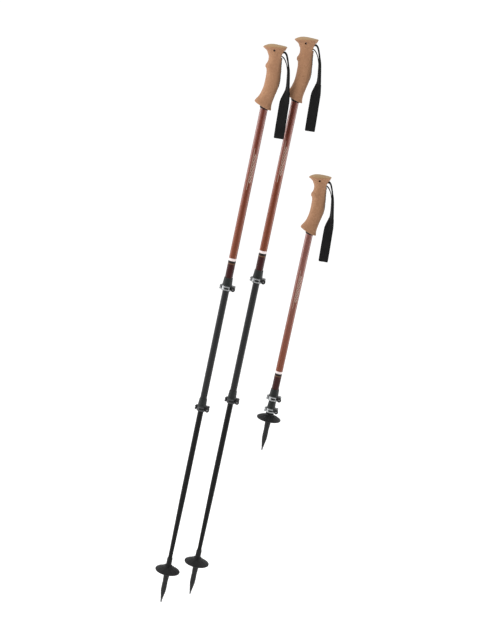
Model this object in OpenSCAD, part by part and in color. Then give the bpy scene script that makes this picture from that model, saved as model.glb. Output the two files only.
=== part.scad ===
// Three telescopic trekking poles with cork grips, wrist straps and external lever locks.
// Two poles stand at walking length and one is collapsed. Each pole is about its own
// vertical axis: +Z runs from the tip to the grip, -X is the front of the hand grip and
// +X the strap side. Lengths in millimetres.

/* [Shafts] */
// Outside diameter of the upper shaft
upper_d = 16; // [16:0.5:18]
// Outside diameter of the middle shaft
middle_d = 14; // [13:0.5:14]
// Outside diameter of the lower shaft
lower_d = 12; // [11:0.5:12]
// Wall thickness of the shafts
wall = 0.75; // [0.6:0.05:0.75]
// Diameter of the lower shaft where it enters the tip
lower_end_d = 9; // [8.5:0.25:9.5]

/* [Lengths] */
// Top of the grip to the middle of the upper lock
len_upper = 506; // [480:1:540]
// Upper lock to lower lock on an extended pole
len_middle = 266; // [200:1:280]
// Lower lock to basket on an extended pole
len_lower = 373; // [300:1:380]
// Basket to the point of the tip
len_tip = 78; // [76:1:84]
// Upper lock to lower lock on a collapsed pole
stow_middle = 28; // [28:1:60]
// Lower lock to basket on a collapsed pole
stow_lower = 17; // [17:1:60]
// Cut length of the middle shaft
middle_cut = 470; // [440:1:475]
// Cut length of the lower shaft
lower_cut = 460; // [430:1:462]

/* [Basket] */
// Diameter of the basket
basket_d = 53.5; // [45:0.5:60]
// Height of the basket's dome
basket_dome = 7; // [4:0.5:9]

/* [Wrist strap] */
// Width of the webbing
webbing_w = 15; // [12:0.5:15]
// Width of the wide part of the strap
pad_w = 20; // [18:0.5:24]

/* [Layout] */
// Distance from the first pole to the second, sideways
gap_12 = 57.9; // [56:0.1:90]
// Distance from the second pole to the third, sideways
gap_23 = 89.1; // [75:0.1:140]
// How far the second pole stands behind the first
step_12 = 16; // [14:1:60]
// How far the third pole stands behind the second
step_23 = 147; // [90:1:220]
// Height of the second pole's tip above the first's
lift_2 = 25.3; // [0:0.1:60]
// Height of the third pole's tip above the first's
lift_3 = 331.6; // [0:0.1:400]

/* [Hidden] */
$fn = 64;

ru = upper_d / 2;
rm = middle_d / 2;
rl = lower_d / 2;
e = 0.02;                    // gap between pieces that are fixed to each other
slide_gap = 0.1;             // radial play of a shaft in its collar
seat = 5.5;                  // a shaft's end above the middle of its lock

// The box that holds all three poles is centred on the origin.
rb = basket_d / 2;
strap_reach = 50.535;         // pole axis to the outer edge of the strap
x1 = -(gap_12 + gap_23 + strap_reach - rb) / 2;
x2 = x1 + gap_12;
x3 = x2 + gap_23;
y1 = -(step_12 + step_23) / 2;
y2 = y1 + step_12;
y3 = y2 + step_23;

// Each pole: position of its tip, lock-to-lock length, lock-to-basket length.
poles = [[x1, y1, 0, len_middle, len_lower],
         [x2, y2, lift_2, len_middle, len_lower],
         [x3, y3, lift_3, stow_middle, stow_lower]];

function z_basket(p) = p[2] + len_tip;
function z_lock2(p) = z_basket(p) + p[4];
function z_lock1(p) = z_lock2(p) + p[3];
function z_top(p) = z_lock1(p) + len_upper;

module at(p, z) translate([p[0], p[1], z]) children();

// ---- lofting ------------------------------------------------------------------------------
function cr(a, b, c, d, t) = 0.5 * ((2 * b) + (c - a) * t + (2 * a - 5 * b + 4 * c - d) * t * t
                                    + (3 * b - a - 3 * c + d) * t * t * t);
// Rows of a table of stations, smoothed with k steps between each two rows
function smooth(s, k) = concat([for (i = [0 : len(s) - 2]) for (j = [0 : k - 1])
    cr(s[max(i - 1, 0)], s[i], s[i + 1], s[min(i + 2, len(s) - 1)], j / k)], [s[len(s) - 1]]);
function spow(v, k) = sign(v) * pow(abs(v), k);
function mean(r) = [for (k = [0 : 2]) sum([for (q = r) q[k]]) / len(r)];
function sum(v, i = 0) = i >= len(v) ? 0 : v[i] + sum(v, i + 1);
// A closed skin over rings of n points each
module skin(rings, n) {
    m = len(rings);
    pts = concat([for (r = rings) for (q = r) q], [mean(rings[0]), mean(rings[m - 1])]);
    faces = concat(
        [for (i = [0 : m - 2]) for (j = [0 : n - 1]) [i * n + j, i * n + (j + 1) % n, (i + 1) * n + (j + 1) % n]],
        [for (i = [0 : m - 2]) for (j = [0 : n - 1]) [i * n + j, (i + 1) * n + (j + 1) % n, (i + 1) * n + j]],
        [for (j = [0 : n - 1]) [m * n, (j + 1) % n, j]],
        [for (j = [0 : n - 1]) [m * n + 1, (m - 1) * n + j, (m - 1) * n + (j + 1) % n]]);
    polyhedron(pts, faces);
}

// ---- grip ---------------------------------------------------------------------------------
// Stations down the grip: height below the top, front, back, half width, slope of the ring
grip_rows = [[-0.2, -11, 3, 7, 3], [-1.1, -17, 9.5, 12.5, 5], [-2.6, -22.5, 16, 16.8, 7.5], [-4, -25.7, 19.3, 19, 9],
    [-5.2, -26.5, 20.2, 19.6, 9.6], [-6.5, -25.8, 19.8, 19, 9.6], [-9.4, -21.9, 18.8, 17.2, 9],
    [-13, -18, 17.6, 15.5, 7.5], [-17.8, -15.6, 16.4, 14.3, 5], [-24, -12.6, 15.7, 13.1, 3],
    [-31, -11.6, 15.6, 12.8, 1.5], [-37, -12.4, 16.1, 13, 0], [-42, -14.6, 16.8, 13.4, 0],
    [-46.8, -14.6, 17.5, 13.7, 0], [-50.3, -11.8, 18.1, 14, 0], [-58, -10.2, 18.8, 14.4, -1],
    [-68, -9.7, 20, 14.7, -2], [-77, -9.7, 19.8, 14.6, -4.5], [-87, -10.1, 18.3, 14.1, -8],
    [-96, -11.6, 16.3, 13.7, -11], [-105, -13.7, 14.6, 13.3, -14], [-112.5, -16.8, 13.4, 13.4, -16.5],
    [-118.8, -20.2, 13.2, 13.9, -18.5], [-123.2, -21.9, 13.6, 14.3, -18.5], [-124.8, -20.6, 12.6, 13.2, -18.5]];
grip_n = 28;
pin_x = -3;
pin_z = 11.3;
swing_x = 14;                // line that the wrist strap swings about
swing_z = 16.4;
function grip_ring(s) = let (a = (s[2] - s[1]) / 2, xc = (s[2] + s[1]) / 2)
    [for (j = [0 : grip_n - 1]) let (f = 360 * j / grip_n, x = a * spow(cos(f), 0.94))
        [xc + x, s[3] * spow(sin(f), 0.94), s[0] + x * tan(s[4])]];
module grip(p) color("burlywood") at(p, z_top(p)) difference() {
    skin([for (s = smooth(grip_rows, 2)) grip_ring(s)], grip_n);
    translate([0, 0, -140]) cylinder(r = ru + e, h = 100);
    // slot for the webbing, with a round bottom that it turns in
    translate([swing_x, 8.6, -swing_z]) rotate([90, 0, 0]) cylinder(r = 8.2, h = 17.2);
    translate([swing_x, -8.6, -swing_z - 8.2]) cube([14, 17.2, 16.4]);
    translate([pin_x, 30, -pin_z]) rotate([90, 0, 0]) cylinder(r = 2.1, h = 60);
    translate([pin_x, -2, -pin_z - 3]) cube([11, 4, 6]);
}

module strap_pin(p) color("dimgray") at(p, z_top(p))
    translate([pin_x, 12.5, -pin_z]) rotate([90, 0, 0]) difference() {
        cylinder(r = 2.05, h = 25);
        translate([0, 0, -1]) cylinder(r = 1.2, h = 27);
    }

// ---- wrist strap --------------------------------------------------------------------------
// Stations down the strap: x, height below the grip's top, width, thickness, twist of the width from Y to X, y
strap_rows = [[12, -13.8, 13, 2.6, 0, 0], [17, -11.9, 14, 2.8, 0, 0], [21.6, -15, webbing_w, 2.8, 0, 0],
    [25.3, -22.3, webbing_w, 3, 0, -0.1], [28.2, -30, webbing_w, 3.2, 2, -0.4],
    [30.2, -37, webbing_w, 3.4, 4, -1], [32.4, -46, webbing_w, 3.8, 6, -3],
    [34.6, -57, webbing_w, 4.2, 9, -6.5], [36.9, -71, webbing_w, 4.6, 13, -9],
    [38.3, -82, webbing_w, 5, 22, -10], [38.3, -90, 15.6, 5.2, 34, -10],
    [37.9, -98, pad_w - 3.2, 5.6, 52, -10], [37.5, -106, pad_w - 1.4, 6, 72, -10],
    [37.7, -115, pad_w - 0.6, 6.6, 88, -10], [38.6, -133, pad_w - 0.3, 6.6, 90, -10],
    [39.9, -158, pad_w, 6.6, 90, -10], [40.9, -178, pad_w - 0.4, 6, 90, -10],
    [41.1, -181, pad_w - 1.6, 3.4, 90, -10]];
strap2_rows = [[11, -20.8, 13, 1.7, 0, 0], [14.6, -21, 13.6, 1.8, 0, 0], [19.2, -24.1, 14, 1.8, 0, 0],
    [23.9, -30.4, 14, 1.8, 0, -0.3], [27.2, -37.2, 14, 1.8, 3, -1], [29.6, -44, 14, 1.8, 5, -2.6]];
strap_n = 12;
// A flat section turned about the strap's own line
function strap_ring(s, d) = let (t = [d[0], d[1]] / norm(d), nrm = [-t[1], t[0]])
    [for (j = [0 : strap_n - 1]) let (f = 360 * (j + 0.5) / strap_n, u = s[2] / 2 * spow(cos(f), 0.45),
        v = s[3] / 2 * spow(sin(f), 0.6), uu = u * cos(s[4]) - v * sin(s[4]), vv = u * sin(s[4]) + v * cos(s[4]))
        [s[0] - nrm[0] * vv, s[5] + uu, s[1] - nrm[1] * vv]];
module ribbon(rows) {
    s = smooth(rows, 2);
    m = len(s);
    skin([for (i = [0 : m - 1]) let (a = s[max(i - 1, 0)], b = s[min(i + 1, m - 1)])
        strap_ring(s[i], [b[0] - a[0], b[1] - a[1]])], strap_n);
}
module wrist_strap(p) color([0.12, 0.12, 0.12]) at(p, z_top(p)) union() {
    ribbon(strap_rows);
    ribbon(strap2_rows);
}

// ---- shafts -------------------------------------------------------------------------------
module tube(r, t, z0, z1) translate([0, 0, z0]) difference() {
    cylinder(r = r, h = z1 - z0);
    translate([0, 0, -1]) cylinder(r = r - t, h = z1 - z0 + 2);
}
module upper_tube(p) color("sienna") at(p, 0)
    tube(ru, wall, z_lock1(p) + seat + e, z_top(p) - 40 - e);
module middle_tube(p) color([0.2, 0.2, 0.21]) at(p, 0)
    tube(rm, wall, z_lock2(p) + seat + e, z_lock2(p) + seat + middle_cut);
// The lower shaft is drawn down to a smaller diameter towards the tip
module lower_tube(p) color([0.15, 0.15, 0.15]) at(p, z_basket(p)) {
    re = lower_end_d / 2;
    z0 = 10;
    z1 = z0 + lower_cut;
    rotate_extrude() polygon([[re, z0], [re, 29], [rl, 172], [rl, z1], [rl - wall, z1], [rl - wall, 172],
                              [re - wall, 29], [re - wall, z0]]);
}
// A moulded plug that keeps the middle shaft's top end from rattling in the upper shaft
module middle_end_plug(p) color("black") at(p, z_lock2(p) + seat + middle_cut) {
    ri = ru - wall;
    rotate_extrude() polygon([[rm - wall - e, -14], [rm - wall - e, e], [ri - 0.1, e], [ri - 0.1, 3], [ri - 0.8, 4.2],
                              [3.5, 4.2], [3.5, 2.5], [rm - wall - 1.4, 2.5], [rm - wall - 1.4, -14]]);
}

// ---- lever lock: r is the radius of the outer shaft, ri that of the inner one ----------------
band_h = 8.6;
function r_seat(r) = r + 1.45;        // collar under the band
function r_band(r) = r + 2.8;         // outside of the band
function bolt_x(r) = r + 5.7;
function cam_y(r) = 7.7;
ear_in = 2.0;
ear_t = 1.3;

module collar(r, ri) difference() {
    rotate_extrude() polygon([[r + e, 22], [r + 0.7, 22], [r + 1.05, 21.4], [r + 1.15, 19.8], [r + 1.9, 9], [r + 2.5, 6.4],
        [r + 2.5, 4.5], [r_seat(r), 4.4], [r_seat(r), -4.4], [r + 2.3, -4.5], [r + 2.3, -5.2], [r + 2.0, -5.6],
        [ri + slide_gap, -5.6], [ri + slide_gap, seat], [r + e, seat]]);
    translate([0, -0.9, -6]) cube([r + 4, 1.8, 12]);
}
module clamp_band(r) difference() {
    union() {
        translate([0, 0, -band_h / 2]) cylinder(r = r_band(r), h = band_h);
        for (s = [-1, 1]) translate([0, s * (ear_in + ear_t / 2), 0]) {
            translate([r, -ear_t / 2, -band_h / 2]) cube([bolt_x(r) - r, ear_t, band_h]);
            translate([bolt_x(r), 0, 0]) rotate([90, 0, 0]) cylinder(r = band_h / 2, h = ear_t, center = true);
        }
    }
    translate([0, 0, -band_h]) cylinder(r = r_seat(r) + e, h = 2 * band_h);
    translate([0, -ear_in, -band_h]) cube([r + 20, 2 * ear_in, 2 * band_h]);
    translate([bolt_x(r), 20, 0]) rotate([90, 0, 0]) cylinder(r = 1.6, h = 40);
    // oval window at the front, and a smaller one behind
    for (s = [1, -1]) for (x = [-3, 3]) translate([x, 0, 0]) rotate([90, 0, 0]) cylinder(r = 2, h = r + 10);
    translate([-3, -r - 10, -2]) cube([6, r + 10, 4]);
}
// Bolt with a cross barrel that the lever turns on
module t_bolt(r) {
    translate([bolt_x(r), cam_y(r), 0]) {
        translate([0, 0, -4.1]) cylinder(r = 2.25, h = 8.2);
        rotate([90, 0, 0]) cylinder(r = 1.5, h = cam_y(r) + 9.8);
    }
}
module thumb_nut(r) translate([bolt_x(r), -ear_in - ear_t - 0.25, 0]) rotate([90, 0, 0]) difference() {
    union() {
        cylinder(r = 3.2, h = 2.5);
        translate([0, 0, 2.4]) cylinder(r1 = 4.1, r2 = 4.6, h = 0.5);
        translate([0, 0, 2.9]) cylinder(r = 4.6, h = 3.3);
        translate([0, 0, 6.2]) cylinder(r1 = 4.6, r2 = 3.9, h = 0.7);
    }
    translate([0, 0, -1]) cylinder(r = 1.6, h = 9);
    translate([0, 0, 5.9]) cylinder(r = 2.6, h = 2);
    for (i = [0 : 11]) rotate(30 * i) translate([5.0, 0, 2.7]) cylinder(r = 0.75, h = 6);
}
module wedge(a0, a1, h) linear_extrude(height = h, center = true)
    polygon(concat([[0, 0]], [for (i = [0 : 8]) let (a = a0 + (a1 - a0) * i / 8) 60 * [cos(a), sin(a)]]));
module lever(r) {
    ra = r_band(r) + 0.5;
    t = 2.0;
    h = band_h - 0.2;
    difference() {
        union() {
            intersection() {
                difference() {
                    cylinder(r = ra + t, h = h, center = true);
                    cylinder(r = ra, h = h + 2, center = true);
                }
                wedge(34, 190, h + 2);
            }
            // thicker free end that a thumb lifts
            intersection() {
                difference() {
                    translate([-0.9, 0.2, 0]) cylinder(r = ra + t, h = h, center = true);
                    cylinder(r = ra, h = h + 2, center = true);
                }
                wedge(150, 193, h + 2);
            }
            translate([bolt_x(r), cam_y(r), 0]) cylinder(r = 4.2, h = h, center = true);
            translate([bolt_x(r) - 4.6, cam_y(r) - 0.4, -h / 2]) cube([4, 4.2, h]);
        }
        translate([bolt_x(r), cam_y(r), 0]) {
            cylinder(r = 2.32, h = h + 2, center = true);
            translate([-1.8, -6, -1.75]) cube([8, 12, 3.5]);
        }
        cylinder(r = ra - 0.01, h = h + 2, center = true);
        // window over the back of the arm and a pocket in the free end
        for (a = [78, 128]) rotate(a) translate([ra - 2, 0, 0]) rotate([0, 90, 0]) cylinder(r = 1.7, h = 8);
        intersection() {
            wedge(78, 128, 3.4);
            difference() {
                cylinder(r = ra + 4, h = 3.4, center = true);
                cylinder(r = ra - 2, h = 5, center = true);
            }
        }
        rotate(191) translate([ra + 0.75, -2, -2.2]) cube([1.2, 5, 4.4]);
    }
}

// ---- tip ----------------------------------------------------------------------------------
module tip_body(p) color([0.1, 0.1, 0.1]) at(p, p[2]) difference() {
    rotate_extrude() polygon([[0, 8], [2.3, 8], [3.2, 14], [4.5, 20.5], [5.5, 27], [5.5, 49], [6.1, 58], [6.35, 64],
        [6.35, len_tip + 8], [5.95, len_tip + 11.5], [5.85, len_tip + 18], [5.2, len_tip + 28], [4.9, len_tip + 28.4],
        [0, len_tip + 28.4]]);
    translate([0, 0, len_tip + 10 - e]) cylinder(r = lower_end_d / 2 + e, h = 40);
    translate([0, 0, 0]) cylinder(r = 1.6 + e, h = 24);
    // flats that a basket thread would start on
    for (a = [0, 180]) rotate(a) translate([6.05, -2, 52]) cube([2, 4, 8]);
}
module carbide_tip(p) color("silver") at(p, p[2]) difference() {
    rotate_extrude() polygon([[0, 0], [1.1, 0], [1.5, 0.8], [1.9, 5], [1.9, 7.95], [1.6, 7.95], [1.6, 23.9], [0, 23.9]]);
    translate([0, 0, -0.6]) sphere(r = 1.1);
}
module basket(p) color([0.13, 0.13, 0.13]) at(p, z_basket(p)) {
    d = basket_dome;
    difference() {
        union() {
            rotate_extrude() polygon([[6.65, -8], [8.2, -8], [8.6, -7.5], [8.6, -1.5], [9.5, d - 4.6], [14, d - 5.4],
                [20, -0.6], [24.2, -3.0], [rb - 1.6, -4.2], [rb - 0.4, -3.9], [rb, -3.0], [rb, -2.1], [rb - 0.5, -1.3],
                [rb - 1.6, -1.0], [24.2, -0.6], [20, 1.7], [14, d - 2.6], [9.8, d - 0.8], [8.8, d + 0.4], [8.4, 9.6],
                [8.0, 10], [6.65, 10]]);
            for (i = [0 : 5]) rotate(60 * i) translate([8, -0.6, -4.5]) cube([12.5, 1.2, 4.5]);
        }
        translate([0, 0, -9]) cylinder(r = 6.65, h = 20);
    }
}

// ---- placing ------------------------------------------------------------------------------
module build(i, name) {
    p = poles[i];
    if (name == "grip") grip(p);
    if (name == "strap_pin") strap_pin(p);
    if (name == "wrist_strap") wrist_strap(p);
    if (name == "upper_tube") upper_tube(p);
    if (name == "upper_collar") color([0.14, 0.15, 0.15]) at(p, z_lock1(p)) collar(ru, rm);
    if (name == "upper_clamp_band") color("silver") at(p, z_lock1(p)) clamp_band(ru);
    if (name == "upper_lever") color("silver") at(p, z_lock1(p)) lever(ru);
    if (name == "upper_t_bolt") color("gray") at(p, z_lock1(p)) t_bolt(ru);
    if (name == "upper_thumb_nut") color([0.1, 0.1, 0.1]) at(p, z_lock1(p)) thumb_nut(ru);
    if (name == "middle_tube") middle_tube(p);
    if (name == "middle_end_plug") middle_end_plug(p);
    if (name == "lower_collar") color([0.12, 0.12, 0.12]) at(p, z_lock2(p)) collar(rm, rl);
    if (name == "lower_clamp_band") color("silver") at(p, z_lock2(p)) clamp_band(rm);
    if (name == "lower_lever") color("silver") at(p, z_lock2(p)) lever(rm);
    if (name == "lower_t_bolt") color("gray") at(p, z_lock2(p)) t_bolt(rm);
    if (name == "lower_thumb_nut") color([0.1, 0.1, 0.1]) at(p, z_lock2(p)) thumb_nut(rm);
    if (name == "lower_tube") lower_tube(p);
    if (name == "tip_body") tip_body(p);
    if (name == "basket") basket(p);
    if (name == "carbide_tip") carbide_tip(p);
}

KINDS = ["grip", "strap_pin", "wrist_strap", "upper_tube", "upper_collar", "upper_clamp_band", "upper_lever",
         "upper_t_bolt", "upper_thumb_nut", "middle_tube", "middle_end_plug", "lower_collar", "lower_clamp_band",
         "lower_lever", "lower_t_bolt", "lower_thumb_nut", "lower_tube", "tip_body", "basket", "carbide_tip"];
for (i = [0 : 2]) for (k = KINDS)
    build(i, k);
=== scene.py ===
import math
import bpy
import bmesh
from mathutils import Matrix, Vector


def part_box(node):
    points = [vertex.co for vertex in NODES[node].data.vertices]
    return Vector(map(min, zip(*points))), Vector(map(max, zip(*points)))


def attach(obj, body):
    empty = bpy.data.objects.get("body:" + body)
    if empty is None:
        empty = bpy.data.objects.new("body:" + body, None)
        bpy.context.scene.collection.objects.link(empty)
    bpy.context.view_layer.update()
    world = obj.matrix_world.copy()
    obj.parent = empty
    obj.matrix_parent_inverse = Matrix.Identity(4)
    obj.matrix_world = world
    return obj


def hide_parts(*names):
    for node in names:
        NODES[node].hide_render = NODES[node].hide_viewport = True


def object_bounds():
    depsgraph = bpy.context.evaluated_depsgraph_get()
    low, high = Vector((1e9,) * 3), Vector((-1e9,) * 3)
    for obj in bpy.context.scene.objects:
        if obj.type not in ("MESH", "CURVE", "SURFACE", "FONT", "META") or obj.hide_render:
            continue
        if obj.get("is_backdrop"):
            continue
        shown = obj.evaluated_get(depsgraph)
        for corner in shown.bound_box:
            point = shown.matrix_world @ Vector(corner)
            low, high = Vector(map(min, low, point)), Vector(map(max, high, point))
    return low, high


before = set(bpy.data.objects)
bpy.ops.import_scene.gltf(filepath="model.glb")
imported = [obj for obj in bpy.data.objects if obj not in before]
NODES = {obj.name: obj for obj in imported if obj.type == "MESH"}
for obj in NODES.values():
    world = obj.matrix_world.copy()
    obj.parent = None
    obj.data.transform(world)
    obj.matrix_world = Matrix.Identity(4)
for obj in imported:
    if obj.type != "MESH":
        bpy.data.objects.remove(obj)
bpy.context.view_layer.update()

MM = 0.001
scene = bpy.context.scene


# ---------------------------------------------------------------- where each pole is, from the frame
class Pole:
    pass


POLES = []
for i in (1, 2, 3):
    p = Pole()
    p.n = "pole%d" % i
    lo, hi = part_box(p.n + "_upper_tube")
    p.x, p.y = (lo[0] + hi[0]) / 2, (lo[1] + hi[1]) / 2
    lo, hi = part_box(p.n + "_upper_clamp_band")
    p.z1 = (lo[2] + hi[2]) / 2
    lo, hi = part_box(p.n + "_lower_clamp_band")
    p.z2 = (lo[2] + hi[2]) / 2
    lo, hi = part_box(p.n + "_basket")
    p.zb = lo[2] + 8 * MM
    p.rb = (hi[0] - lo[0]) / 2
    lo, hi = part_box(p.n + "_carbide_tip")
    p.z0 = lo[2]
    p.zt = p.z1 + 506 * MM
    POLES.append(p)


# ---------------------------------------------------------------- camera
def make_camera():
    cam = bpy.data.cameras.new("camera")
    o = bpy.data.objects.new("camera", cam)
    scene.collection.objects.link(o)
    cam.sensor_width = 36.0
    cam.lens = 36.0 * 1605.66 / 625.0
    cam.clip_start, cam.clip_end = 0.05, 200.0
    a = POLES[0]
    pitch, roll = 0.2520, math.radians(11.96) + 0.0019
    o.matrix_world = (Matrix.Translation((a.x + 57.87 * MM, a.y - 3.2120, a.z0 + 1.5026))
                      @ Matrix.Rotation(math.pi / 2 - pitch, 4, "X") @ Matrix.Rotation(roll, 4, "Z"))
    scene.camera = o


make_camera()


# ---------------------------------------------------------------- node helpers
class Mat:
    """A small wrapper that makes node wiring short."""

    def __init__(self, name):
        self.m = bpy.data.materials.new(name)
        self.m.use_nodes = True
        self.t = self.m.node_tree
        self.b = next(n for n in self.t.nodes if n.type == "BSDF_PRINCIPLED")
        self.out = next(n for n in self.t.nodes if n.type == "OUTPUT_MATERIAL")
        self.tc = self.t.nodes.new("ShaderNodeTexCoord")
        self.x = -400

    def set(self, **kw):
        for k, v in kw.items():
            self.b.inputs[k.replace("_", " ")].default_value = v
        return self

    def node(self, kind, **kw):
        n = self.t.nodes.new(kind)
        self.x -= 40
        n.location = (self.x, (self.x * 7) % 400)
        for k, v in kw.items():
            if hasattr(n, k):
                setattr(n, k, v)
            else:
                n.inputs[k.replace("_", " ")].default_value = v
        return n

    def link(self, a, b):
        self.t.links.new(a, b)

    def obj(self):
        return self.tc.outputs["Object"]

    def uv(self):
        return self.tc.outputs["UV"]

    def mapping(self, src, scale=(1, 1, 1), loc=(0, 0, 0), rot=(0, 0, 0)):
        n = self.node("ShaderNodeMapping")
        n.inputs["Scale"].default_value = scale
        n.inputs["Location"].default_value = loc
        n.inputs["Rotation"].default_value = rot
        self.link(src, n.inputs["Vector"])
        return n.outputs["Vector"]

    def noise(self, src, scale, detail=4, rough=0.55, distort=0.0):
        n = self.node("ShaderNodeTexNoise")
        n.inputs["Scale"].default_value = scale
        n.inputs["Detail"].default_value = detail
        n.inputs["Roughness"].default_value = rough
        n.inputs["Distortion"].default_value = distort
        self.link(src, n.inputs["Vector"])
        return n.outputs["Fac"]

    def voronoi(self, src, scale, feature="F1", rand=1.0):
        n = self.node("ShaderNodeTexVoronoi", feature=feature)
        n.inputs["Scale"].default_value = scale
        n.inputs["Randomness"].default_value = rand
        self.link(src, n.inputs["Vector"])
        return n

    def wave(self, src, scale, direction="X", distort=0.0, profile="SIN", dscale=1.0, detail=0.0):
        n = self.node("ShaderNodeTexWave", wave_type="BANDS", bands_direction=direction, wave_profile=profile)
        n.inputs["Scale"].default_value = scale
        n.inputs["Distortion"].default_value = distort
        n.inputs["Detail"].default_value = detail
        n.inputs["Detail Scale"].default_value = dscale
        self.link(src, n.inputs["Vector"])
        return n.outputs["Fac"]

    def math(self, op, a, b=0.0, c=None, clamp=False):
        n = self.node("ShaderNodeMath", operation=op, use_clamp=clamp)
        for k, v in enumerate((a, b) if c is None else (a, b, c)):
            if isinstance(v, (int, float)):
                n.inputs[k].default_value = v
            else:
                self.link(v, n.inputs[k])
        return n.outputs[0]

    def ramp(self, fac, stops, interp="LINEAR"):
        n = self.node("ShaderNodeValToRGB")
        n.color_ramp.interpolation = interp
        e = n.color_ramp.elements
        while len(e) > len(stops):
            e.remove(e[-1])
        while len(e) < len(stops):
            e.new(0.5)
        for s, (pos, col) in zip(e, stops):
            s.position = pos
            s.color = (*col, 1.0) if not isinstance(col, (int, float)) else (col, col, col, 1.0)
        self.link(fac, n.inputs["Fac"])
        return n.outputs["Color"]

    def mix(self, fac, a, b, mode="MIX"):
        n = self.node("ShaderNodeMix", data_type="RGBA", blend_type=mode)
        if isinstance(fac, (int, float)):
            n.inputs[0].default_value = fac
        else:
            self.link(fac, n.inputs[0])
        for k, v in ((6, a), (7, b)):
            if isinstance(v, (tuple, list)):
                n.inputs[k].default_value = (*v, 1.0)
            else:
                self.link(v, n.inputs[k])
        return n.outputs[2]

    def sep(self, src):
        n = self.node("ShaderNodeSeparateXYZ")
        self.link(src, n.inputs[0])
        return n.outputs

    def base(self, src):
        self.link(src, self.b.inputs["Base Color"])

    def rough(self, src):
        self.link(src, self.b.inputs["Roughness"])

    def range(self, fac, a, b, c, d, smooth=False):
        n = self.node("ShaderNodeMapRange")
        if smooth:
            n.interpolation_type = "SMOOTHSTEP"
        n.clamp = True
        for k, v in zip(("From Min", "From Max", "To Min", "To Max"), (a, b, c, d)):
            n.inputs[k].default_value = v
        self.link(fac, n.inputs["Value"])
        return n.outputs["Result"]

    def bump(self, height, strength=0.3, dist=0.001, chain=None):
        n = self.node("ShaderNodeBump")
        n.inputs["Strength"].default_value = strength
        n.inputs["Distance"].default_value = dist
        self.link(height, n.inputs["Height"])
        if chain is not None:
            self.link(chain, n.inputs["Normal"])
        self.link(n.outputs["Normal"], self.b.inputs["Normal"])
        return n.outputs["Normal"]


# ---------------------------------------------------------------- materials
def cork():
    m = Mat("cork").set(Metallic=0.0, Specular_IOR_Level=0.28, Sheen_Weight=0.08)
    o = m.obj()
    warp = m.noise(o, 60, 3)
    big = m.noise(o, 22, 3, 0.5)
    gran = m.voronoi(m.mapping(o, (1, 1, 0.8)), 430)                 # pressed granules, 2 to 3 mm
    edge = m.voronoi(m.mapping(o, (1, 1, 0.8)), 430, "DISTANCE_TO_EDGE")
    gsep = m.sep(gran.outputs["Color"])
    fine = m.noise(o, 900, 5, 0.6)
    base = m.ramp(gsep[0], [(0.0, (0.300, 0.152, 0.078)), (0.35, (0.335, 0.172, 0.090)), (0.7, (0.355, 0.184, 0.097)),
                            (1.0, (0.385, 0.204, 0.110))])
    c1 = m.mix(m.range(big, 0.35, 0.68, 0.0, 0.45), base, (0.310, 0.150, 0.082))
    c2 = m.mix(m.range(edge.outputs["Distance"], 0.0, 0.07, 0.26, 0.0), c1, (0.190, 0.088, 0.044))
    speck = m.noise(o, 330, 2, 0.5, 0.6)
    c3 = m.mix(m.range(speck, 0.68, 0.74, 0.0, 0.6), c2, (0.120, 0.052, 0.028))
    c4 = m.mix(m.range(fine, 0.3, 0.75, 0.0, 0.28), c3, (0.42, 0.235, 0.135))
    # painted highlight: cork that faces upward is mixed towards pale cream, standing in for the light that falls on the
    # top of the grip head
    geo = m.node("ShaderNodeNewGeometry")
    up = m.sep(geo.outputs["Normal"])[2]
    painted_highlight_col = m.mix(m.range(up, 0.45, 0.92, 0.0, 0.60), c4, (0.44, 0.31, 0.150))
    m.base(painted_highlight_col)
    m.rough(m.range(fine, 0.3, 0.7, 0.62, 0.82))
    n1 = m.bump(edge.outputs["Distance"], 0.22, 0.0006)
    n2 = m.bump(speck, 0.10, 0.0006, n1)
    m.bump(fine, 0.16, 0.0003, n2)
    return m.m


def rubber(name="black_rubber", col=0.018, rough=0.6):
    m = Mat(name).set(Metallic=0.0, Specular_IOR_Level=0.2)
    o = m.obj()
    f = m.noise(o, 1400, 3)
    g = m.noise(o, 45, 3)
    m.base(m.ramp(g, [(0.3, (col * 0.8, col * 0.8, col * 0.82)), (0.7, (col * 1.3, col * 1.3, col * 1.32))]))
    m.rough(m.range(f, 0.3, 0.7, rough - 0.08, rough + 0.1))
    m.bump(f, 0.12, 0.0002)
    return m.m


def plastic(name, col, rough=0.45, grain=900):
    """Moulded nylon: a fine spark-eroded grain, faint flow marks and lighter worn edges."""
    m = Mat(name).set(Metallic=0.0, Specular_IOR_Level=0.28)
    o = m.obj()
    f = m.voronoi(o, grain, "SMOOTH_F1")
    flow = m.noise(m.mapping(o, (1, 1, 0.3)), 60, 4)
    lo, hi = tuple(v * 0.82 for v in col), tuple(v * 1.25 for v in col)
    c = m.ramp(flow, [(0.3, lo), (0.7, hi)])
    geo = m.node("ShaderNodeNewGeometry")
    worn = m.range(geo.outputs["Pointiness"], 0.53, 0.60, 0.0, 0.5)
    c2 = m.mix(worn, c, tuple(min(1, v * 2.2 + 0.02) for v in col))
    m.base(c2)
    m.rough(m.range(flow, 0.25, 0.75, rough - 0.05, rough + 0.12))
    m.bump(f.outputs["Distance"], 0.10, 0.0002)
    return m.m


def round_brushed(name, col, rough=0.3, metallic=1.0, around=True, axis=None):
    """Metal with fine brush marks that run round the shaft, or along it."""
    m = Mat(name).set(Metallic=metallic)
    o = m.obj()
    s = (6, 6, 2200) if around else (900, 900, 8)
    streak = m.noise(m.mapping(o, s), 1.0, 4, 0.7)
    smudge = m.noise(o, 90, 3)
    lo, hi = tuple(v * 0.86 for v in col), tuple(min(1, v * 1.08) for v in col)
    m.base(m.ramp(streak, [(0.3, lo), (0.7, hi)]))
    r = m.math("ADD", m.range(streak, 0.25, 0.75, rough - 0.06, rough + 0.08), m.range(smudge, 0.4, 0.7, 0.0, 0.06))
    m.rough(r)
    m.bump(streak, 0.06, 0.0001)
    return m.m


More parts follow.
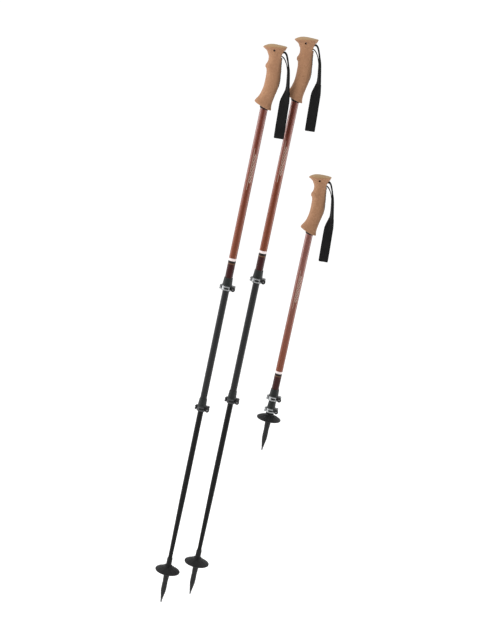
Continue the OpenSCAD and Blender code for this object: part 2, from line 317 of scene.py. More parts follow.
def tube_mat(name, p, parts, rough=0.3, metallic=0.8, coat=0.35, deco=None, ior=1.5, spec=0.5):
    """Anodised tube. parts: colour stops by height above the reference height p, in mm."""
    m = Mat(name).set(Metallic=metallic, Coat_Weight=coat, Coat_Roughness=0.16, Coat_IOR=ior, Specular_IOR_Level=spec)
    o = m.obj()
    z = m.sep(o)[2]
    h = m.math("MULTIPLY", m.math("SUBTRACT", z, p), 1000.0)       # mm above the reference
    lo, hi = parts[0][0], parts[-1][0]
    f = m.range(h, lo, hi, 0.0, 1.0)
    col = m.ramp(f, [((a - lo) / (hi - lo), c) for a, c in parts])
    draw = m.noise(m.mapping(o, (700, 700, 5)), 1.0, 3, 0.6)       # drawing marks along the tube
    fleck = m.noise(o, 1600, 2)
    col = m.mix(m.range(draw, 0.35, 0.7, 0.0, 0.22), col, (0.0, 0.0, 0.0))
    col = m.mix(m.range(fleck, 0.55, 0.75, 0.0, 0.10), col, (1.0, 0.85, 0.75), "SOFT_LIGHT")
    r = m.range(draw, 0.3, 0.7, rough - 0.05, rough + 0.07)
    metal = None
    if deco is not None:
        col, r, metal = deco(m, o, h, col, r)
        if metal is not None:
            m.link(metal, m.b.inputs["Metallic"])
    m.base(col)
    m.rough(r)
    m.bump(draw, 0.05, 0.0001)
    return m.m


def band(m, h, a, b, soft=0.25):
    """1 between heights a and b, in mm."""
    up = m.range(h, a - soft, a + soft, 0.0, 1.0)
    dn = m.range(h, b - soft, b + soft, 1.0, 0.0)
    return m.math("MULTIPLY", up, dn)


def upper_shaft(p):
    def deco(m, o, h, col, r):
        # printed rings above the lock
        maroon = band(m, h, -20, 58.8, 0.3)
        col = m.mix(maroon, col, (0.032, 0.0028, 0.0022))
        dark = band(m, h, 54.6, 58.6, 0.3)
        col = m.mix(dark, col, (0.010, 0.008, 0.006))
        gold = band(m, h, 51.6, 53.2, 0.3)
        col = m.mix(gold, col, (0.14, 0.075, 0.035))
        white = band(m, h, 58.6, 63.8, 0.3)
        col = m.mix(white, col, (0.76, 0.66, 0.65))
        # plain printed motif of slanted dashes on the front of the shaft
        q = m.sep(o)
        px = m.math("MULTIPLY", m.math("SUBTRACT", q[0], p.x), 1000.0)
        py = m.math("SUBTRACT", q[1], p.y)
        front = m.math("LESS_THAN", py, 0.0)
        slant = m.math("ADD", h, m.math("MULTIPLY", px, 1.6))
        dash = m.math("PINGPONG", slant, 2.6)
        dash = m.range(dash, 0.75, 1.15, 1.0, 0.0)
        motif = m.math("MULTIPLY", m.math("MULTIPLY", band(m, h, 224, 284, 0.2), band(m, px, 0.2, 4.6, 0.15)), front)
        motif = m.math("MULTIPLY", motif, dash)
        line = m.math("MULTIPLY", m.math("MULTIPLY", band(m, h, 210, 296, 0.2), band(m, px, -1.5, -0.9, 0.12)), front)
        ink = m.math("MAXIMUM", motif, line)
        col = m.mix(ink, col, (0.50, 0.40, 0.33))
        paint = m.math("MAXIMUM", ink, m.math("MAXIMUM", white, dark))
        metal = m.math("SUBTRACT", 0.30, m.math("MULTIPLY", m.math("MAXIMUM", maroon, paint), 0.30), clamp=True)
        gloss = m.range(h, 90.0, 400.0, 0.30, 1.0)
        clear = m.math("MULTIPLY", gloss, m.math("SUBTRACT", 1.0, m.math("MULTIPLY", m.math("MAXIMUM", maroon, paint), 0.9), clamp=True))
        m.link(clear, m.b.inputs["Coat Weight"])
        return col, m.math("ADD", r, m.math("MULTIPLY", paint, 0.12)), metal
    return tube_mat("upper_shaft_" + p.n, p.z1,
                    [(-20, (0.170, 0.036, 0.011)), (60, (0.178, 0.038, 0.010)), (200, (0.180, 0.037, 0.013)),
                     (330, (0.185, 0.040, 0.022)), (480, (0.188, 0.044, 0.028))], 0.30, 0.30, 0.6, deco, 1.7, 0.2)


def webbing(name="webbing", col=(0.0065, 0.0065, 0.0066)):
    """Woven nylon: ribs across, warp threads along, in the strip's own u (across) and v (along) in metres."""
    m = Mat(name).set(Metallic=0.0, Specular_IOR_Level=0.16, Sheen_Weight=0.03, Sheen_Roughness=0.5)
    uv = m.uv()
    warp = m.wave(m.mapping(uv, (1, 1, 1)), 1.15 * 320, "X", 0.3)
    weft = m.wave(m.mapping(uv, (1, 1, 1), rot=(0, 0, math.radians(6))), 1.15 * 210, "Y", 0.4)
    s = m.sep(uv)
    chev = m.math("PINGPONG", s[0], 0.0035)
    diag = m.math("ADD", m.math("MULTIPLY", chev, 900.0), m.math("MULTIPLY", s[1], 900.0))
    herr = m.math("PINGPONG", diag, 0.5)
    weave = m.math("MULTIPLY", m.math("ADD", warp, m.math("MULTIPLY", herr, 1.4)), m.range(weft, 0, 1, 0.55, 1.0))
    fuzz = m.noise(m.obj(), 1800, 4)
    c = m.ramp(weave, [(0.1, tuple(v * 0.35 for v in col)), (0.6, col), (1.0, tuple(v * 2.6 for v in col))])
    c = m.mix(m.range(fuzz, 0.5, 0.8, 0.0, 0.25), c, tuple(v * 3.0 for v in col))
    m.base(c)
    m.rough(m.range(fuzz, 0.3, 0.7, 0.68, 0.88))
    n1 = m.bump(weave, 0.55, 0.0004)
    m.bump(fuzz, 0.15, 0.0002, n1)
    return m.m


def knit():
    """Soft lining of the wide part: a close knit with a slight nap."""
    m = Mat("strap_lining").set(Metallic=0.0, Specular_IOR_Level=0.14, Sheen_Weight=0.03, Sheen_Roughness=0.45)
    uv = m.uv()
    a = m.wave(m.mapping(uv, (1, 1, 1), rot=(0, 0, math.radians(38))), 330, "X", 1.2)
    b = m.wave(m.mapping(uv, (1, 1, 1), rot=(0, 0, math.radians(-38))), 330, "X", 1.2)
    k = m.math("MAXIMUM", a, b)
    fuzz = m.noise(m.obj(), 1500, 4)
    big = m.noise(m.obj(), 70, 3)
    c = m.ramp(k, [(0.2, (0.0035, 0.0035, 0.0036)), (0.9, (0.0105, 0.0105, 0.0106))])
    c = m.mix(m.range(big, 0.4, 0.7, 0.0, 0.35), c, (0.014, 0.014, 0.0145))
    m.base(c)
    m.rough(m.range(fuzz, 0.3, 0.7, 0.75, 0.92))
    n1 = m.bump(k, 0.35, 0.0003)
    m.bump(fuzz, 0.2, 0.0002, n1)
    return m.m


M_CORK = cork()
M_RUBBER = rubber(col=0.010)
# near-black ferrule rubber: partly its own colour, partly painted shade for the shadow line under the grip
M_FERRULE_SHADE = rubber("ferrule_painted_shade", 0.005, 0.7)
M_COLLAR = plastic("collar_nylon", (0.0105, 0.0130, 0.0122), 0.46)
M_BLACK = plastic("black_nylon", (0.0068, 0.0070, 0.0070), 0.42)
M_TIP = plastic("tip_nylon", (0.0062, 0.0062, 0.0064), 0.40, 1300)
M_BASKET = plastic("basket_plastic", (0.0085, 0.0085, 0.0088), 0.50, 1100)
M_SILVER = round_brushed("silver_satin", (0.36, 0.37, 0.375), 0.33)
M_LEVER = round_brushed("lever_satin", (0.33, 0.34, 0.345), 0.32)
M_DARKLEVER = round_brushed("lever_dark", (0.030, 0.031, 0.032), 0.38, 0.8)
M_DARKBAND = round_brushed("band_dark", (0.075, 0.076, 0.079), 0.38, 0.85)
M_STEEL = round_brushed("bolt_steel", (0.22, 0.22, 0.225), 0.30)
M_PIN = round_brushed("pin_bronze", (0.150, 0.045, 0.022), 0.40, 0.35)
M_CARBIDE = round_brushed("carbide", (0.085, 0.085, 0.09), 0.36, 0.9)
M_WEB = webbing()
M_WEB2 = webbing("webbing_tail", col=(0.010, 0.010, 0.0105))
M_KNIT = knit()
M_THREAD = rubber("strap_thread", 0.016, 0.8)
M_BIND = webbing("strap_binding", col=(0.0050, 0.0050, 0.0052))


# ---------------------------------------------------------------- mesh helpers
def add(name, mesh, mats, body, replaces=(), smooth=True):
    o = bpy.data.objects.new(name, mesh)
    scene.collection.objects.link(o)
    for m in mats if isinstance(mats, (list, tuple)) else (mats,):
        o.data.materials.append(m)
    if smooth:
        o.data.polygons.foreach_set("use_smooth", [True] * len(o.data.polygons))
    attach(o, body)
    if replaces:
        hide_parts(*replaces)
    return o


def cr(a, b, c, d, t):
    return 0.5 * (2 * b + (c - a) * t + (2 * a - 5 * b + 4 * c - d) * t * t + (3 * b - a - 3 * c + d) * t ** 3)


def smooth_rows(rows, k):
    out = []
    for i in range(len(rows) - 1):
        a, b, c, d = rows[max(i - 1, 0)], rows[i], rows[i + 1], rows[min(i + 2, len(rows) - 1)]
        for j in range(k):
            out.append([cr(*q, j / k) for q in zip(a, b, c, d)])
    out.append(list(rows[-1]))
    return out


def spow(v, k):
    return math.copysign(abs(v) ** k, v)


def loft(name, rings, cap=True, closed=True, uvs=None):
    """A skin over rings of equal length. uvs: per ring, per point (u, v) in metres."""
    n = len(rings[0])
    me = bpy.data.meshes.new(name)
    verts = [q for r in rings for q in r]
    faces = []
    for i in range(len(rings) - 1):
        for j in range(n if closed else n - 1):
            k = (j + 1) % n
            faces.append((i * n + j, i * n + k, (i + 1) * n + k, (i + 1) * n + j))
    if cap:
        faces.append(tuple(range(n - 1, -1, -1)))
        faces.append(tuple((len(rings) - 1) * n + j for j in range(n)))
    me.from_pydata(verts, [], faces)
    if uvs is not None:
        lay = me.uv_layers.new(name="strip")
        flat = [q for r in uvs for q in r]
        for poly in me.polygons:
            for li in poly.loop_indices:
                lay.data[li].uv = flat[me.loops[li].vertex_index]
    me.validate()
    bm = bmesh.new()
    bm.from_mesh(me)
    bmesh.ops.recalc_face_normals(bm, faces=bm.faces)
    bm.to_mesh(me)
    bm.free()
    return me


def lathe(name, prof, cx, cy, z, seg=96, closed=False):
    """prof: (radius, height) in mm, turned about the pole's axis."""
    rings = []
    for r, h in prof:
        rings.append([(cx + r * MM * math.cos(2 * math.pi * j / seg), cy + r * MM * math.sin(2 * math.pi * j / seg), z + h * MM)
                      for j in range(seg)])
    if closed:
        rings.append(rings[0])
    me = bpy.data.meshes.new(name)
    n = seg
    m = len(prof)
    verts = [q for r in rings[:m] for q in r]
    faces = []
    for i in range(m if closed else m - 1):
        a, b = i, (i + 1) % m
        for j in range(n):
            k = (j + 1) % n
            faces.append((a * n + j, a * n + k, b * n + k, b * n + j))
    if not closed:
        faces.append(tuple(range(n)))
        faces.append(tuple((m - 1) * n + j for j in range(n)))
    me.from_pydata(verts, [], faces)
    bm = bmesh.new()
    bm.from_mesh(me)
    bmesh.ops.remove_doubles(bm, verts=bm.verts, dist=1e-7)
    bmesh.ops.recalc_face_normals(bm, faces=bm.faces)
    bm.to_mesh(me)
    bm.free()
    return me


def fillet(prof, rad=0.35, steps=3, closed=False):
    """Rounds the corners of a profile of (r, h) points."""
    out = []
    n = len(prof)
    for i, p in enumerate(prof):
        if not closed and i in (0, n - 1):
            out.append(p)
            continue
        a, b = Vector(prof[i - 1]), Vector(prof[(i + 1) % n])
        q = Vector(p)
        da, db = (a - q), (b - q)
        la, lb = da.length, db.length
        if la < 1e-6 or lb < 1e-6:
            out.append(p)
            continue
        k = min(rad, la * 0.45, lb * 0.45)
        pa, pb = q + da / la * k, q + db / lb * k
        for s in range(steps + 1):
            t = s / steps
            out.append(tuple((1 - t) ** 2 * pa + 2 * t * (1 - t) * q + t * t * pb))
    return out


def boolean(obj, cutters, op="DIFFERENCE"):
    for c in cutters:
        m = obj.modifiers.new("cut", "BOOLEAN")
        m.operation = op
        m.solver = "EXACT"
        m.object = c
    dg = bpy.context.evaluated_depsgraph_get()
    me = bpy.data.meshes.new_from_object(obj.evaluated_get(dg))
    obj.modifiers.clear()
    obj.data = me
    for c in cutters:
        bpy.data.objects.remove(c)


def cutter(kind, loc, size, rot=(0, 0, 0), seg=48):
    bm = bmesh.new()
    if kind == "cyl":
        bmesh.ops.create_cone(bm, cap_ends=True, segments=seg, radius1=size[0], radius2=size[1], depth=size[2])
    else:
        bmesh.ops.create_cube(bm, size=1.0)
        bmesh.ops.scale(bm, vec=size, verts=bm.verts)
        bmesh.ops.bevel(bm, geom=list(bm.edges), offset=min(size) * 0.12, segments=4, affect="EDGES")
    from mathutils import Euler
    mat = Matrix.Translation(loc) @ Euler(rot).to_matrix().to_4x4()
    bmesh.ops.transform(bm, matrix=mat, verts=bm.verts)
    me = bpy.data.meshes.new("cutter")
    bm.to_mesh(me)
    bm.free()
    o = bpy.data.objects.new("cutter", me)
    scene.collection.objects.link(o)
    return o


# ---------------------------------------------------------------- cork grips
GRIP = [[-0.2, -11, 3, 7, 3], [-1.1, -17, 9.5, 12.5, 5], [-2.6, -22.5, 16, 16.8, 7.5], [-4, -25.7, 19.3, 19, 9],
        [-5.0, -26.6, 20.4, 19.8, 9.6], [-6.1, -26.3, 20.2, 19.4, 9.6], [-7.6, -24.2, 19.5, 18.2, 9.4], [-9.6, -21.6, 18.7, 17.0, 9],
        [-13, -18, 17.6, 15.5, 7.5], [-17.8, -15.6, 16.4, 14.3, 5], [-24, -12.6, 15.7, 13.1, 3],
        [-31, -11.6, 15.6, 12.8, 1.5], [-37, -12.4, 16.1, 13, 0], [-42, -14.6, 16.8, 13.4, 0],
        [-46.8, -14.6, 17.5, 13.7, 0], [-50.3, -11.8, 18.1, 14, 0], [-58, -10.2, 18.8, 14.4, -1],
        [-68, -9.7, 20, 14.7, -2], [-77, -9.7, 19.8, 14.6, -4.5], [-87, -10.1, 18.3, 14.1, -8],
        [-96, -11.6, 16.3, 13.7, -11], [-105, -13.7, 14.6, 13.3, -14], [-112.5, -16.8, 13.4, 13.4, -16.5],
        [-118.8, -20.2, 13.5, 13.9, -18.5], [-123.2, -21.9, 14.4, 14.3, -18.5], [-124.8, -20.6, 13.4, 13.2, -18.5]]


def grip_at(z):
    """(front, back, half width, slope) of the grip at a height, from the smoothed stations."""
    rows = smooth_rows(GRIP, 8)
    for a, b in zip(rows, rows[1:]):
        if a[0] >= z >= b[0]:
            t = (a[0] - z) / (a[0] - b[0])
            return [a[k] + (b[k] - a[k]) * t for k in range(1, 5)]
    return rows[-1][1:]


def grip_mesh():
    n = 112
    rings = []
    first = smooth_rows(GRIP, 7)
    # close the top with a few shrinking rings so the crown is domed, and the bottom with an inset face
    top = first[0]
    for k in (0.0, 0.35, 0.7):
        xc, a = (top[1] + top[2]) / 2, (top[2] - top[1]) / 2
        rings.append(("cap", [xc, a * (0.02 + k), top[3] * (0.02 + k), top[0] + 0.32 * (1 - k) ** 2, top[4]]))
    for r in first:
        rings.append(("row", r))
    last = first[-1]
    for k, dz in ((0.93, 0.35), (0.86, 0.45), (0.78, 0.4)):
        xc, a = (last[1] + last[2]) / 2, (last[2] - last[1]) / 2
        rings.append(("cap", [xc, a * k, last[3] * k, last[0] + (-0.35 if k > 0.9 else 0.1), last[4]]))
    out = []
    for kind, s in rings:
        ring = []
        for j in range(n):
            f = 2 * math.pi * j / n
            if kind == "row":
                a, xc, w, z, sl = (s[2] - s[1]) / 2, (s[2] + s[1]) / 2, s[3], s[0], s[4]
            else:
                xc, a, w, z, sl = s[0], s[1], s[2], s[3], s[4]
            x = a * spow(math.cos(f), 0.94)
            y = w * spow(math.sin(f), 0.94)
            ring.append(((xc + x) * MM, y * MM, (z + x * math.tan(math.radians(sl))) * MM))
        out.append(ring)
    return loft("grip", out)


def build_grips():
    me = grip_mesh()
    tmp = bpy.data.objects.new("tmp", me)
    scene.collection.objects.link(tmp)
    cuts = [cutter("cyl", (0, 0, -0.090), (ru + 0.00012, ru + 0.00012, 0.100)),
            cutter("cyl", (0.014, 0, -0.0164), (0.0082, 0.0082, 0.0172), (math.pi / 2, 0, 0)),
            cutter("box", (0.0215, 0, -0.0164), (0.0170, 0.0172, 0.0164)),
            cutter("cyl", (-0.003, 0, -0.0113), (0.0021, 0.0021, 0.06), (math.pi / 2, 0, 0)),
            cutter("cyl", (-0.003, -0.0182, -0.0113), (0.0042, 0.0020, 0.006), (math.pi / 2, 0, math.pi)),
            cutter("cyl", (-0.003, 0.0182, -0.0113), (0.0042, 0.0020, 0.006), (-math.pi / 2, 0, math.pi))]
    boolean(tmp, cuts)
    base = tmp.data
    bpy.data.objects.remove(tmp)
    for p in POLES:
        g = base.copy()
        g.transform(Matrix.Translation((p.x, p.y, p.zt)))
        o = add(p.n + "_cork_grip", g, M_CORK, p.n, [p.n + "_grip"])
        o.data.set_sharp_from_angle(angle=math.radians(48))
        # black ferrule under the slanted end of the cork; it is partly a real ring and partly painted shade, made near
        # black to stand in for the shadow line where the shaft enters the grip
        n = 72
        rings = []
        for (rad, dz, k) in ((8.12, 1.0, 1.0), (10.6, 1.0, 1.0), (11.0, 0.7, 1.0), (11.0, 0.0, 1.0), (10.7, -0.35, 1.0), (9.6, -0.9, 0.9),
                             (9.1, -3.6, 0.55), (8.8, -4.1, 0.5), (8.12, -4.2, 0.5), (8.12, 1.0, 1.0)):
            ring = []
            for j in range(n):
                f = 2 * math.pi * j / n
                x, y = rad * math.cos(f), rad * math.sin(f)
                ring.append((p.x + (x - 1.0 * (k - 0.5) * 0) * MM, p.y + y * MM,
                             p.zt + (-125.4 + dz + x * math.tan(math.radians(-18.5)) * k) * MM))
            rings.append(ring)
        add(p.n + "_grip_ferrule_painted_shade", loft("ferrule", rings, cap=False), M_FERRULE_SHADE, p.n)
        # rubber inlay down the back of the grip, with fine ribs
        rings = []
        steps = 96
        for s in range(steps + 1):
            z = -30.0 - 53.0 * s / steps
            fr, bk, w, sl = grip_at(z)
            xc, a = (fr + bk) / 2, (bk - fr) / 2
            endk = min(1.0, s / 5.0, (steps - s) / 5.0)
            wid = 3.6 * (0.35 + 0.65 * math.sqrt(max(endk, 0.0)))
            proud = (0.45 + 0.22 * math.cos(2 * math.pi * s / 6.0)) * endk - 0.5 * (1 - endk)
            ring = []
            for t in (-1.0, -0.9, -0.6, -0.2, 0.2, 0.6, 0.9, 1.0):
                y = wid * t
                sy = min(1.0, abs(y) / w)
                cx_ = (1 - sy ** (2 / 0.94)) ** (0.94 / 2)
                x = xc + a * cx_
                ring.append((p.x + (x + proud * (1 - 0.7 * abs(t) ** 4) - (0.7 if abs(t) == 1.0 else 0)) * MM, p.y + y * MM,
                             p.zt + (z + (x - xc) * math.tan(math.radians(sl))) * MM))
            for t in (0.6, -0.6):
                y = wid * t
                ring.append((p.x + (xc + a - 2.0) * MM, p.y + y * MM, p.zt + (z + a * math.tan(math.radians(sl))) * MM))
            rings.append(ring)
        add(p.n + "_grip_inlay", loft("inlay", rings), M_RUBBER, p.n)


# ---------------------------------------------------------------- wrist straps
STRAP = [[12, -13.8, 13, 2.6, 0, 0], [17, -11.9, 14, 2.8, 0, 0], [21.6, -15, 15, 2.8, 0, 0],
         [25.3, -22.3, 15, 3, 0, -0.1], [28.2, -30, 15, 3.2, 2, -0.4], [30.2, -37, 15, 3.4, 4, -1],
         [32.4, -46, 15, 3.8, 6, -3], [34.6, -57, 15, 4.2, 9, -6.5], [36.9, -71, 15, 4.6, 13, -9],
         [38.3, -82, 15, 5, 22, -10], [38.3, -90, 15.6, 5.2, 34, -10], [37.9, -98, 16.8, 5.6, 52, -10],
         [37.5, -106, 18.6, 6, 72, -10], [37.7, -115, 19.4, 6.6, 88, -10], [38.6, -133, 19.7, 6.6, 90, -10],
         [39.9, -158, 20, 6.6, 90, -10], [40.9, -178, 19.8, 6.6, 90, -10], [41.1, -181.2, 19.7, 6.6, 90, -10]]
STRAP2 = [[11, -20.8, 13, 1.7, 0, 0], [14.6, -21, 13.6, 1.8, 0, 0], [19.2, -24.1, 14, 1.8, 0, 0],
          [23.9, -30.4, 14, 1.8, 0, -0.3], [27.2, -37.2, 14, 1.8, 3, -1], [29.6, -44, 14, 1.8, 5, -2.6]]


def strap_frames(rows, k=8):
    """Centre, width direction, thickness direction and distance along, at fine steps down the strap."""
    rs = smooth_rows(rows, k)
    out = []
    run = 0.0
    for i, r in enumerate(rs):
        a, b = rs[max(i - 1, 0)], rs[min(i + 1, len(rs) - 1)]
        t = Vector((b[0] - a[0], b[5] - a[5], b[1] - a[1])).normalized()
        flat = Vector((b[0] - a[0], 0, b[1] - a[1])).normalized()
        nrm = Vector((-flat.z, 0, flat.x))
        tw = math.radians(r[4])
        w = Vector((0, 1, 0)) * math.cos(tw) - nrm * math.sin(tw)
        w = (w - t * w.dot(t)).normalized()
        v = -Vector((0, 1, 0)) * math.sin(tw) - nrm * math.cos(tw)
        v = (v - t * v.dot(t) - w * v.dot(w)).normalized()
        c = Vector((r[0], r[5], r[1]))
        if i:
            run += (c - out[-1][0]).length
        out.append((c, w, v, run, r))
    return out


def strip_ring(c, w, v, width, thick, cup=0.0):
    """A flat section with rounded edges, 20 points, and u across it in metres."""
    pts, us = [], []
    hw, ht = width / 2, thick / 2
    e = min(ht, 0.9)
    prof = []
    for k in range(5):
        a = math.pi / 2 - math.pi * k / 4
        prof.append((hw - e + e * math.cos(a), ht * math.sin(a)))
    mids = [-0.75, -0.4, 0.0, 0.4, 0.75]
    bottom = [(-m * (hw - e), -ht) for m in mids]
    left = []
    for k in range(5):
        a = -math.pi / 2 - math.pi * k / 4
        left.append((-(hw - e) + e * math.cos(a), ht * math.sin(a)))
    topm = [(m * (hw - e), ht) for m in mids]
    for (x, y) in prof + bottom + left + topm:
        y2 = y + cup * (x / hw) ** 2
        pts.append(tuple((c + w * x + v * y2) * MM))
        us.append(x * MM)
    return pts, us


def strip(name, samples, mat, body, p, cup=0.0, replaces=()):
    """samples: (centre, width dir, thickness dir, run, width, thickness), in mm."""
    rings, uvs = [], []
    for (c, w, v, run, width, thick) in samples:
        pts, us = strip_ring(c, w, v, width, thick, cup)
        rings.append([(q[0] + p.x, q[1] + p.y, q[2] + p.zt) for q in pts])
        uvs.append([(u, run * MM) for u in us])
    me = loft(name, rings, uvs=uvs)
    return add(name, me, mat, body, replaces)


def stitches(name, lines, mat, body, p, length=2.6, gap=0.9, r=0.24):
    """lines: lists of (position, normal) in mm. Small raised threads along each."""
    bm = bmesh.new()
    for line in lines:
        d = 0.0
        acc = [0.0]
        for a, b in zip(line, line[1:]):
            acc.append(acc[-1] + (b[0] - a[0]).length)
        total = acc[-1]

        def at(s):
            s = max(0.0, min(total, s))
            for i in range(len(line) - 1):
                if acc[i + 1] >= s:
                    t = (s - acc[i]) / max(1e-9, acc[i + 1] - acc[i])
                    return line[i][0].lerp(line[i + 1][0], t), line[i][1].lerp(line[i + 1][1], t).normalized()
            return line[-1]
        s = 0.3
        while s + length < total:
            rows = []
            for k in range(6):
                t = k / 5
                c, nr = at(s + length * t)
                c2, _ = at(s + length * t + 0.05)
                tg = (c2 - c).normalized() if (c2 - c).length > 1e-9 else Vector((0, 0, 1))
                side = tg.cross(nr).normalized()
                lift = 0.10 + 0.20 * math.sin(math.pi * t)
                rr = r * (0.35 + 0.65 * math.sin(math.pi * (0.12 + 0.76 * t)))
                ring = [bm.verts.new(tuple((c + nr * (lift - 0.1) + side * rr * math.cos(q * math.pi / 3) * 1.1
                                            + nr * rr * math.sin(q * math.pi / 3)) * MM + Vector((p.x, p.y, p.zt)))) for q in range(6)]
                rows.append(ring)
            for a, b in zip(rows, rows[1:]):
                for q in range(6):
                    bm.faces.new((a[q], a[(q + 1) % 6], b[(q + 1) % 6], b[q]))
            bm.faces.new(rows[0])
            bm.faces.new(list(reversed(rows[-1])))
            s += length + gap
    bmesh.ops.recalc_face_normals(bm, faces=bm.faces)
    me = bpy.data.meshes.new(name)
    bm.to_mesh(me)
    bm.free()
    return add(name, me, mat, body)


def build_strap(p):
    body = p.n + "_strap"
    fr = strap_frames(STRAP, 8)
    # outer run: two layers of webbing over the pin, down into the top of the wide part
    for tag, side in (("outer", -1.0), ("under", 1.0)):
        s1 = []
        for (c, w, v, run, r) in fr:
            if r[1] < -108:
                break
            k = min(1.0, max(0.0, (-34.0 - r[1]) / 10.0))
            s1.append((c + v * (side * 0.82 - 0.80 * k), w, v, run, min(r[2], 15.0) - (0.0 if side < 0 else 0.5), 1.55))
        strip(p.n + "_strap_%s_run" % tag, s1, M_WEB, body, p, 0.22, [p.n + "_wrist_strap"] if side < 0 else ())
    # inner run: leaves the slot lower down and joins the outer one
    f2 = strap_frames(STRAP2, 8)
    s2 = []
    for (c, w, v, run, r) in f2[:-8]:
        s2.append((c, w, v, run, 13.6, 1.5))
    base = s2[-1][3]
    tail = [q for q in fr if -108 < q[4][1] < -44.5]
    for (c, w, v, run, r) in tail:
        s2.append((c + v * 1.66, w, v, base + run - tail[0][3] + 4, 14.4, 1.6))
    strip(p.n + "_strap_inner_run", s2, M_WEB2, body, p, 0.2)
    # wide part: one band that comes down the back, folds at the end and goes up the front
    low = [q for q in fr if q[4][1] <= -85.0]
    zend = -181.0

    def wide(r):
        return r[2] - 0.1

    def offs(z):
        # the two halves lie on each other, a little apart in the middle
        k = min(1.0, max(0.0, (-88.0 - z) / 16.0))
        q = (z + 90.0) / (zend + 90.0)
        return 1.60 + 0.25 * math.sin(math.pi * max(0.0, min(1.0, q))) * k

    def thick(z):
        k = min(1.0, max(0.0, (-86.0 - z) / 12.0))
        return 2.1 + 0.75 * k

    down, up = [], []
    for (c, w, v, run, r) in low:
        if r[1] < zend + 2.2:
            break
        down.append((c - v * offs(r[1]), w, v, run, wide(r), thick(r[1])))
        up.append((c + v * offs(r[1]), w, v, run, wide(r), thick(r[1])))
    c, w, v, run, r = [q for q in low if q[4][1] >= zend + 2.2][-1]
    t = (low[-1][0] - low[-4][0]).normalized()
    h = offs(r[1])
    fold = []
    for k in range(1, 12):
        a = math.pi * k / 12
        cc = c - v * h * math.cos(a) + t * h * math.sin(a)
        vv = (v * math.cos(a) - t * math.sin(a))
        fold.append((cc, w, vv, run + h * a, wide(r) - 0.4 * math.sin(a), thick(r[1])))
    total = run + math.pi * h
    seq = list(down) + fold
    for q in reversed(up):
        seq.append((q[0], q[1], -q[2], total + (run - q[3]), q[4], q[5]))
    strip(p.n + "_strap_wide_band", seq, M_KNIT, body, p, 0.0)
    # bound edges of the wide part
    for s, nm in ((1, "right"), (-1, "left")):
        e = []
        for (cc, ww, vv, rn, wd, th) in seq:
            e.append((cc + ww * (s * (wd / 2 - 0.75)), ww, vv, rn, 2.1, th + 0.42))
        strip(p.n + "_strap_binding_" + nm, e, M_BIND, body, p)
    # stitching beside the bindings, and across the top of the wide part
    lines = []
    for s in (1, -1):
        line = [(cc + ww * (s * (wd / 2 - 2.6)) + vv * (-th / 2), -vv) for (cc, ww, vv, rn, wd, th) in down[4:]]
        lines.append(line)
        line = [(cc + ww * (s * (wd / 2 - 2.6)) + vv * (th / 2), vv) for (cc, ww, vv, rn, wd, th) in up[4:]]
        lines.append(line)
    for seq_, sg in ((down, -1), (up, 1)):
        for row in (9, 13):
            cc, ww, vv, rn, wd, th = seq_[row]
            lines.append([(cc + ww * x + vv * (sg * th / 2), vv * sg) for x in (-6.6, -3, 0, 3, 6.6)])
    stitches(p.n + "_strap_stitching", lines, M_THREAD, body, p, 2.0, 0.8, 0.22)


# ---------------------------------------------------------------- tips, baskets
def build_tip(p):
    body = p.n + "_lower_section"
    zb = 78.0
    prof = [(0.0, 8.0), (2.2, 8.0), (2.45, 8.4), (3.2, 14), (4.5, 20.5), (5.3, 25.6), (5.5, 27), (5.5, 49), (5.62, 50), (6.1, 58), (6.35, 64),
            (6.35, zb + 8), (5.95, zb + 11.5)]
    # flexible stretch with turned grooves above the basket
    z = zb + 12.2
    for k in range(5):
        prof += [(5.95, z), (5.93, z + 1.1), (5.45, z + 1.35), (5.45, z + 1.95), (5.9, z + 2.2)]
        z += 2.5
    prof += [(5.85, z + 0.6), (5.2, zb + 27.7), (4.95, zb + 28.4), (4.52, zb + 28.4), (4.52, zb + 10)]
    o = add(p.n + "_flex_tip", lathe("tip", fillet(prof, 0.3, 2), p.x, p.y, p.z0, 80), M_TIP, body, [p.n + "_tip_body"])
    o.data.set_sharp_from_angle(angle=math.radians(40))
    # long flutes on the straight part, as raised ribs
    bm = bmesh.new()
    for k in range(10):
        a = 2 * math.pi * k / 10
        rows = []
        for s in range(13):
            t = s / 12
            z = 28.0 + 20.0 * t
            hgt = 0.34 * math.sin(math.pi * min(1, max(0, t))) ** 0.35 if 0 < t < 1 else -0.25
            ring = []
            for (u, q) in ((-0.75, -0.2), (-0.42, 0.7), (0, 1.0), (0.42, 0.7), (0.75, -0.2)):
                r = 5.42 + hgt * q
                ring.append(bm.verts.new((p.x + (r * math.cos(a) - u * math.sin(a)) * MM, p.y + (r * math.sin(a) + u * math.cos(a)) * MM,
                                          p.z0 + z * MM)))
            rows.append(ring)
        for ra, rb in zip(rows, rows[1:]):
            for q in range(4):
                bm.faces.new((ra[q], ra[q + 1], rb[q + 1], rb[q]))
    bmesh.ops.recalc_face_normals(bm, faces=bm.faces)
    me = bpy.data.meshes.new("flutes")
    bm.to_mesh(me)
    bm.free()
    add(p.n + "_tip_flutes", me, M_TIP, body)


